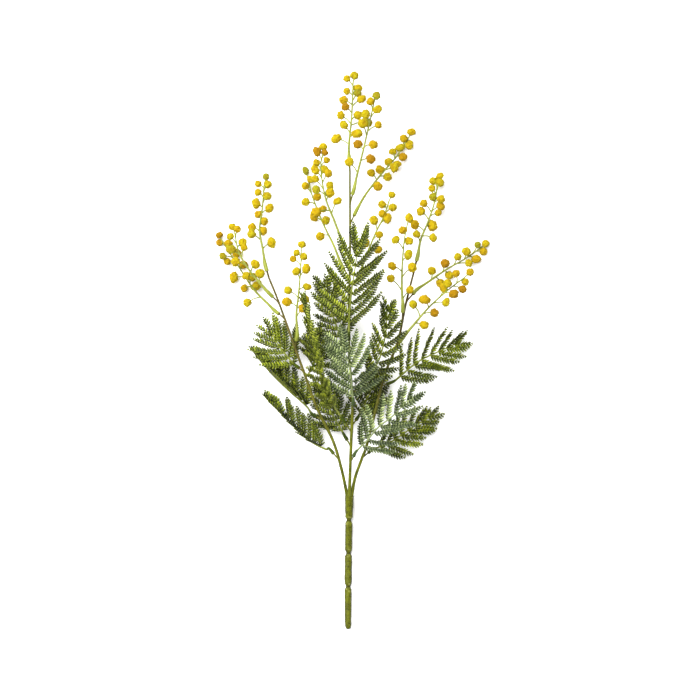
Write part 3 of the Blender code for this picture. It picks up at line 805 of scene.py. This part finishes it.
def buildFrond(name, spec, finish):
    draw = random.Random(name)
    draft = Draft()
    steps = midribShape["steps"]
    midrib = smoothPath(seatOnBranch(spec)[2], steps)
    length = pathLength(midrib)
    radii = []
    for k in range(steps + 1):
        gone = length * k / steps
        socket = branch["socketRadius"] * (1 - 0.03 * gone)
        thin = midribShape["radius"] - midribShape["radiusLoss"] * k / steps
        past = gone - midribShape["socketLength"]
        fade = max(0.0, 1 - past / midribShape["socketFade"])
        radii.append(socket if past < 0 else thin + (socket - thin) * fade)
    hole = (branch["pegRadius"] + branch["socketClearance"], branch["socketDepth"])
    tube(draft, midrib, radii, midribShape["sides"], tone=0.35,
         mark=lambda share: 0.0 if share * length < 10 else 0.35, hollow=hole)
    for pinna in frondPinnae(spec):
        buildPinna(draft, draw, *pinna)
    slotName = "frond_grey" if "grey" in name else "frond"
    piece = draft.finish("frond_" + name + "_leaflets", [finish], "frond_" + name, slotName, 40)
    return len(piece.data.polygons)


# the flower sprays. bare is the share of the axis before the first head, and stalk the length of its
# stalk; the others have shorter ones toward the tip.

sprays = {
    "top": {
        "branch": "centre", "leavesAt": None, "heads": 14, "bare": 0.26, "stalk": 16, "seed": 1492,
        "line": ((1.5, 464, 37), (1, 484, 32), (3.8, 515, 24), (5, 547, 16)),
    },
    "top_right": {
        "branch": "centre", "leavesAt": (2, 424), "heads": 10, "bare": 0.26, "stalk": 16, "seed": 1428,
        "line": ((4.6, 434, 44), (9, 453, 45), (15, 477, 44), (20, 499, 42), (26, 526, 38)),
    },
    "right_of_top": {
        "branch": "centre", "leavesAt": (1.9, 404), "heads": 14, "bare": 0.38, "stalk": 10, "seed": 1384,
        "line": ((6, 413, 38), (18, 435, 29), (33, 455, 20), (49, 474, 11), (60.5, 492, 4.5)),
    },
    "left_of_top": {
        "branch": "centre", "leavesAt": (1.9, 366), "heads": 14, "bare": 0.38, "stalk": 16, "seed": 45,
        "line": ((-2.5, 378, 48), (-13, 406, 50), (-22.6, 431, 49), (-27, 460, 45), (-25, 475, 42)),
    },
    "left_of_top_back": {
        "branch": "centre", "leavesAt": (1.7, 350), "heads": 9, "bare": 0.38, "stalk": 10, "seed": 536,
        "line": ((-4, 360, 39), (-14, 383, 30), (-25, 406, 20), (-36, 434, 11), (-40, 452, 6)),
    },
    "right_of_centre": {
        "branch": "centre", "leavesAt": (1.5, 338), "heads": 9, "bare": 0.38, "stalk": 10, "seed": 534,
        "line": ((7, 347, 39), (17, 370, 31), (28, 397, 24), (36, 413, 20), (41, 428, 17)),
    },
    "left_tip": {
        "branch": "left", "leavesAt": None, "heads": 13, "bare": 0.26, "stalk": 10, "seed": 1133,
        "line": ((-81, 358, 30), (-85, 378, 27), (-88.6, 400, 22), (-86, 422, 18), (-84, 448, 14)),
    },
    "left_upper": {
        "branch": "left", "leavesAt": (-69, 326), "heads": 10, "bare": 0.26, "stalk": 13, "seed": 300,
        "line": ((-75, 332, 37), (-89, 347, 41), (-100, 361, 42), (-109, 377, 40), (-113, 396, 36)),
    },
    "left_lower": {
        "branch": "left", "leavesAt": (-63, 310), "heads": 12, "bare": 0.26, "stalk": 13, "seed": 1440,
        "line": ((-69, 315, 30), (-80, 325, 23), (-94, 339, 15), (-107, 358, 9), (-127, 389, 5)),
    },
    "left_inner": {
        "branch": "left", "leavesAt": (-52.5, 280), "heads": 11, "bare": 0.26, "stalk": 13, "seed": 460,
        "line": ((-51.3, 289, 42), (-51.3, 314, 47), (-49.3, 333, 49), (-47, 360, 49), (-46.5, 378, 47)),
    },
    "right_tip": {
        "branch": "right", "leavesAt": None, "heads": 14, "bare": 0.26, "stalk": 13, "seed": 206,
        "line": ((68.5, 368, 27), (73, 390, 25), (80, 407, 22), (87, 428, 18), (90, 446, 14)),
    },
    "right_upright": {
        "branch": "right", "leavesAt": (54.5, 308), "heads": 9, "bare": 0.14, "stalk": 16, "seed": 497,
        "line": ((54.5, 317, 39), (53.7, 340, 43), (54, 364, 45), (56, 388, 45), (59, 404, 44)),
    },
    "right_outer": {
        "branch": "right", "leavesAt": (58.5, 328), "heads": 11, "bare": 0.26, "stalk": 16, "seed": 429,
        "line": ((65, 335, 27), (80, 347, 20), (99, 360, 13), (118, 371, 8), (135, 383, 5)),
    },
    "right_lower": {
        "branch": "right", "leavesAt": (46.5, 280), "heads": 12, "bare": 0.26, "stalk": 13, "seed": 1213,
        "line": ((52, 287, 40), (67, 306, 45), (82, 323, 47), (100, 339, 45), (117, 352, 41)),
    },
}
stalk = {
    "radius": 0.8,
    "radiusLoss": 0.16,
    "steps": 8,
    "sides": 8,
    "light": (0.25, 0.27, 0.035),
    "dark": (0.08, 0.10, 0.008),
    "socket": (0.20, 0.225, 0.03),
    "scales": (110, 1300, 0.35),
    "dents": (0.2, 0.0002),
    "roughness": 0.5,
    "specular": 0.2,
}
axisShape = {
    "steps": 70,
    "sides": 14,
    "radius": 0.72,
    "rootSwell": 0.8,
    "socketLength": 7,
    "socketFade": 9.0,
    "socketWall": 0.75,
    "socketDye": 24,  # how far the socket's colour reaches
}
headPlaces = {
    "crowding": 0.9,  # below 1, the heads stand closer together toward the tip
    "jitter": 0.03,
    "lift": 45,  # degrees out of the spray's plane, either way
    "lean": (36, 82),  # degrees from the axis at the first head
    "leanLoss": 24,
    "tipLean": 8,
    "radius": 4.4,
    "radiusLoss": 0.6,
    "tipStalk": 7.0,
}
flower = {
    "tones": ((0.0, (0.205, 0.242, 0.014)), (0.14, (0.35, 0.345, 0.008)), (0.4, (0.415, 0.362, 0.005)),
              (0.75, (0.395, 0.282, 0.003)), (1.0, (0.275, 0.147, 0.002))),
    "crevice": (0.60, 0.36, 0.10),
    "crumbShare": 0.75,
    # the deep colour: the heads' own dark ochre spots, and painted shade in the hollows between lumps
    "deep": (0.24, 0.115, 0.001),
    "sheen": 0.25,
    "sheenRoughness": 0.5,
    "sheenTint": (0.62, 0.64, 0.05),
    "scales": (400, 2600, 0.5),
    "dents": (0.5, 0.0004),
    "roughness": 0.95,
    "specular": 0.15,
    "lumps": ((1.5, 0.2), (3.4, 0.19), (7.5, 0.11)),  # (scale, height)
    "fibres": 320,
    "fibreWidth": 0.17,
    "fibreReach": (0.35, 0.75),
    "longShare": 0.28,
    "greenShare": 0.03,
    "orangeShare": 0.1,
}


def sprayHeads(spec):
    steps = 60
    axis = smoothPath(seatOnBranch(spec)[2], steps)
    ways = tangents(axis)
    draw = random.Random(spec["seed"])
    heads = []
    count = spec["heads"]
    sideFirst = draw.choice((1, -1))
    jitter, lift = headPlaces["jitter"], headPlaces["lift"]
    for k in range(count):
        share = k / (count - 1)
        along = spec["bare"] + (1 - spec["bare"]) * share ** headPlaces["crowding"]
        along += draw.uniform(-jitter, jitter)
        i = max(min(round(along * steps), steps), 8)
        way = ways[i]
        up = squareTo(way, Vector((0, 0, 1)))
        side = way.cross(up) * (sideFirst if k % 2 else -sideFirst)
        turn = math.radians(draw.uniform(-lift, lift))
        lean = math.radians(draw.uniform(*headPlaces["lean"]) - headPlaces["leanLoss"] * share)
        out = side * math.cos(turn) + up * math.sin(turn)
        if k == count - 1:
            lean = math.radians(headPlaces["tipLean"])
        radius = (headPlaces["radius"] - headPlaces["radiusLoss"] * share) * draw.uniform(0.86, 1.1)
        reach = spec["stalk"] + (headPlaces["tipStalk"] - spec["stalk"]) * share
        reach *= draw.uniform(0.62, 1.25)
        centre = axis[i] + (way * math.cos(lean) + out * math.sin(lean)) * reach
        centre.z = max(centre.z, 0.8 * radius)
        heads.append((axis[i], way, centre, radius))
    return heads


def roundTemplate():
    ball = bmesh.new()
    bmesh.ops.create_icosphere(ball, subdivisions=4, radius=1)
    ball.verts.ensure_lookup_table()
    points = [v.co.copy() for v in ball.verts]
    faces = [tuple(v.index for v in f.verts) for f in ball.faces]
    ball.free()
    return points, faces


roundHead = roundTemplate()


# a flocked head: an uneven ball of crumbs with short fibres all over
def buildHead(draft, centre, radius, tone, draw):
    fullTurn = 6.28
    aboutZ = Matrix.Rotation(draw.uniform(0, fullTurn), 3, "Z")
    aboutX = Matrix.Rotation(draw.uniform(0, fullTurn), 3, "X")
    long = draw.uniform(1.14, 1.3) if draw.random() < flower["longShare"] else draw.uniform(0.97, 1.06)
    shape = aboutZ @ aboutX @ Matrix.Diagonal((long, draw.uniform(0.94, 1.02), draw.uniform(0.94, 1.02)))
    shift = Vector((draw.uniform(0, 90), draw.uniform(0, 90), draw.uniform(0, 90)))
    points, marks = [], []
    for way in roundHead[0]:
        lump = sum(noise.noise(way * scale + shift) * height for scale, height in flower["lumps"])
        crumb = draw.uniform(-1, 1)
        p = centre + shape @ way * radius * (0.97 + lump + 0.02 * crumb)
        points.append(Vector((p.x, p.y, max(p.z, 0.0))))
        # the mark draws toward the deep colour: ochre spots of the head's own, and painted shade in the
        # hollows between its lumps
        spot = max(0.0, noise.noise(way * 2.6 + shift * 2) - 0.12) * 1.5
        marks.append(min(0.85, max(0.0, 0.1 + spot - lump * 2.2 - crumb * 0.16)))
    draft.add(points, roundHead[1], tone, marks, 1)
    for _ in range(flower["fibres"]):
        i = draw.randrange(len(points))
        root = points[i]
        out = (root - centre).normalized()
        lean = Vector((draw.uniform(-1, 1), draw.uniform(-1, 1), draw.uniform(-1, 1))) * 0.55
        way = (out + lean).normalized()
        side = squareTo(way, Vector((0.3, 0.5, 0.8)))
        other = way.cross(side)
        base = root - out * 0.15
        tip = root + way * draw.uniform(*flower["fibreReach"])
        tip.z = max(tip.z, 0.02)
        corners = (side * flower["fibreWidth"], (other - side) * 0.13, -(other + side) * 0.13)
        fibre = [*(base + corner for corner in corners), tip]
        fibreFaces = [(0, 1, 3), (1, 2, 3), (2, 0, 3), (2, 1, 0)]
        draft.add(fibre, fibreFaces, max(0.0, tone - 0.1), [marks[i]] * 3 + [0.0], 1)


def buildSpray(name, spec, stalkFinish, flowerFinish):
    draw = random.Random(name)
    draft = Draft()
    steps = axisShape["steps"]
    axis = smoothPath(seatOnBranch(spec)[2], steps)
    length = pathLength(axis)
    outer = branch["tipSocketRadius"] if spec["leavesAt"] is None else branch["socketRadius"]
    radii = []
    for k in range(steps + 1):
        share = k / steps
        gone = length * k / steps
        thin = axisShape["radius"] + axisShape["rootSwell"] * (1 - share) ** 2
        past = gone - axisShape["socketLength"]
        fade = max(0.0, 1 - past / axisShape["socketFade"])
        swell = outer if past < 0 else thin + (outer - thin) * fade ** 1.4
        radii.append(swell * (1 + 0.05 * noise.noise(Vector((gone * 0.5, len(name), 0)))))
    tube(draft, axis, radii, axisShape["sides"],
         mark=lambda share: max(0.0, 1 - share * length / axisShape["socketDye"]),
         hollow=(outer - axisShape["socketWall"], branch["socketDepth"]))
    for root, way, centre, radius in sprayHeads(spec):
        toHead = centre - root
        # the stalk leaves along the axis and bends out to its head
        knee = root + toHead * 0.45 + way * (toHead.length * 0.08)
        path = smoothPath([root, knee, centre - toHead.normalized() * radius * 0.5], stalk["steps"])
        stalkRadii = [stalk["radius"] - stalk["radiusLoss"] * min(1.0, k / 3) for k in range(len(path))]
        tube(draft, path, stalkRadii, stalk["sides"])
        chance = draw.random()
        tone = draw.uniform(0.22, 0.72)
        if chance < flower["greenShare"]:
            tone = draw.uniform(0.0, 0.1)
        elif chance < flower["greenShare"] + flower["orangeShare"]:
            tone = draw.uniform(0.85, 1.0)
        buildHead(draft, centre, radius, tone, draw)
    finishes = [stalkFinish, flowerFinish]
    piece = draft.finish("spray_" + name + "_heads", finishes, "spray_" + name, "flower", 60)
    return len(piece.data.polygons)


# the room: a pale floor, soft lights and the camera straight above

room = {
    "floorHalf": 9,
    "floorPlace": (0, 0.25, -0.0004),
    "floorColour": (0.93, 0.93, 0.925),
    "floorPatches": 0.985,  # how bright its darker patches are, against the rest
    "floorGlow": 0.22,  # a little light of its own, so that shadows hardly show on it
    "scales": (4, 60, 0.3),
    "roughness": 0.9,
    "specular": 0.1,
    "worldLight": 0.37,
    "lights": (("keyLight", (-0.9, 1.1, 2.4), 2.0, 200), ("fillLight", (1.2, -0.2, 2.3), 1.8, 10)),
    "cameraHeight": 3.0,
    "lookAt": (0.002, 0.259, 0.03),
    "frameWidth": 0.700,
    "sensor": 36,
    "seesTo": 20,
}


def addFloor():
    half = room["floorHalf"]
    mesh = bpy.data.meshes.new("floor")
    corners = [(-half, -half, 0), (half, -half, 0), (half, half, 0), (-half, half, 0)]
    mesh.from_pydata(corners, [], [(0, 1, 2, 3)])
    floor = bpy.data.objects.new("floor", mesh)
    floor.location = room["floorPlace"]
    bpy.context.scene.collection.objects.link(floor)
    made, nodes, links, shader = startMaterial("paleFloor", room)
    patches = tuple(c * room["floorPatches"] for c in room["floorColour"])
    paper = dye(nodes, room["floorColour"], patches, room["scales"])
    links.new(paper.outputs["Colour"], shader.inputs["Base Color"])
    shader.inputs["Emission Color"].default_value = (1, 1, 1, 1)
    shader.inputs["Emission Strength"].default_value = room["floorGlow"]
    mesh.materials.append(made)


def addLights():
    world = bpy.data.worlds.new("softRoom")
    world.use_nodes = True
    background = world.node_tree.nodes["Background"]
    background.inputs["Color"].default_value = (1, 1, 1, 1)
    background.inputs["Strength"].default_value = room["worldLight"]
    bpy.context.scene.world = world
    for name, place, size, power in room["lights"]:
        lamp = bpy.data.lights.new(name, "AREA")
        lamp.size = size
        lamp.energy = power
        made = bpy.data.objects.new(name, lamp)
        made.location = place
        toPart = Vector(room["lookAt"]) - Vector(place)
        made.rotation_euler = toPart.to_track_quat("-Z", "Y").to_euler()
        bpy.context.scene.collection.objects.link(made)


def addCamera():
    lens = bpy.data.cameras.new("camera")
    lens.sensor_width = room["sensor"]
    lens.lens = room["sensor"] * room["cameraHeight"] / room["frameWidth"]
    lens.clip_end = room["seesTo"]
    eye = bpy.data.objects.new("camera", lens)
    x, y, z = room["lookAt"]
    eye.location = (x, y, z + room["cameraHeight"])
    eye.rotation_euler = (0, 0, 0)
    bpy.context.scene.collection.objects.link(eye)
    bpy.context.scene.camera = eye


addFloor()
addLights()
addCamera()
bpy.context.scene.view_settings.view_transform = "Standard"
print("room ready")
buildStem(stemMaterial(stem))
branchFinish = branchMaterial(branch)
for name in branches:
    specs = [s for s in [*fronds.values(), *sprays.values()] if s["branch"] == name]
    buildBranch(name, branchFinish, specs)
print("stem and branches ready")
leafFinishes = {
    name: leafMaterial("leaf" + name.capitalize(), {**leafSurface, **look})
    for name, look in leafDyes.items()
}
faceCount = sum(buildFrond(name, spec, leafFinishes[spec["dye"]]) for name, spec in fronds.items())
print("fronds ready,", faceCount, "faces")
stalkFinish, flowerFinish = stalkMaterial(stalk), flowerMaterial(flower)
faceCount = sum(buildSpray(name, spec, stalkFinish, flowerFinish) for name, spec in sprays.items())
print("sprays ready,", faceCount, "faces")
